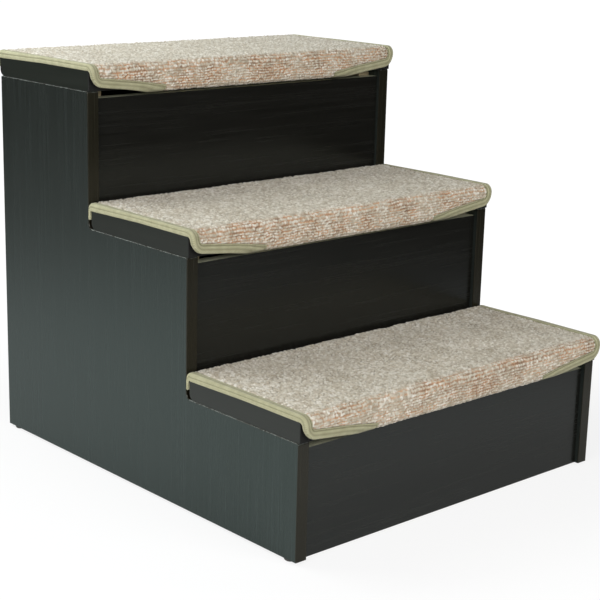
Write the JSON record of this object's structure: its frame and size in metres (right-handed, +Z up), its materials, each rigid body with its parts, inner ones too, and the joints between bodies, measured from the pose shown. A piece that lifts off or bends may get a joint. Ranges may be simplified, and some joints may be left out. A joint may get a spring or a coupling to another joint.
{
  "type": "pet stairs",
  "caption": "Low indoor stairs for a pet: three carpeted treads on stepped side panels, with boards closing the rises.",
  "frame": {"origin": "floor level, under the middle of the object's bounding box", "axes": "+X to the right when the steps are faced, +Y from the lowest step towards the highest, +Z up"},
  "size_m": [0.483, 0.5674, 0.4793],
  "materials": {
    "side_laminate": "dark green-grey laminate on board, fine upright grain, satin",
    "edge_band": "dark brown edge band, satin",
    "riser_laminate": "near-black brown laminate on board, fine level grain, satin",
    "tread_laminate": "dark grey laminate on board, satin",
    "carpet_pile": "beige heather loop pile",
    "binding_tape": "olive khaki twill tape",
    "hook_and_loop": "black hook and loop tape",
    "raw_wood": "unfinished pale wood",
    "plated_steel": "zinc plated",
    "glide_plastic": "dark nylon"
  },
  "bodies": {
    "root": {"left_side_panel": "side_laminate", "right_side_panel": "side_laminate", "left_edge_band": "edge_band", "right_edge_band": "edge_band", "riser_lower": "riser_laminate", "riser_middle": "riser_laminate", "riser_upper": "riser_laminate", "back_rail_lower": "riser_laminate", "back_rail_upper": "riser_laminate", "back_panel": "riser_laminate", "tread_board_lower": "tread_laminate", "tread_board_middle": "tread_laminate", "tread_board_upper": "tread_laminate", "carpet_lower": "carpet_pile", "carpet_middle": "carpet_pile", "carpet_upper": "carpet_pile", "carpet_binding_lower": "binding_tape", "carpet_binding_middle": "binding_tape", "carpet_binding_upper": "binding_tape", "hook_strip_lower": "hook_and_loop", "hook_strip_middle": "hook_and_loop", "hook_strip_upper": "hook_and_loop", "loop_strip_lower": "hook_and_loop", "loop_strip_middle": "hook_and_loop", "loop_strip_upper": "hook_and_loop", "left_cleat_lower": "raw_wood", "left_cleat_middle": "raw_wood", "left_cleat_upper": "raw_wood", "right_cleat_lower": "raw_wood", "right_cleat_middle": "raw_wood", "right_cleat_upper": "raw_wood", "dowels": "raw_wood", "cam_bolts": "plated_steel", "cam_housings": "plated_steel", "cleat_screws": "plated_steel", "tread_screws": "plated_steel", "panel_pins": "plated_steel", "glides": "glide_plastic"}
  },
  "joints": []
}
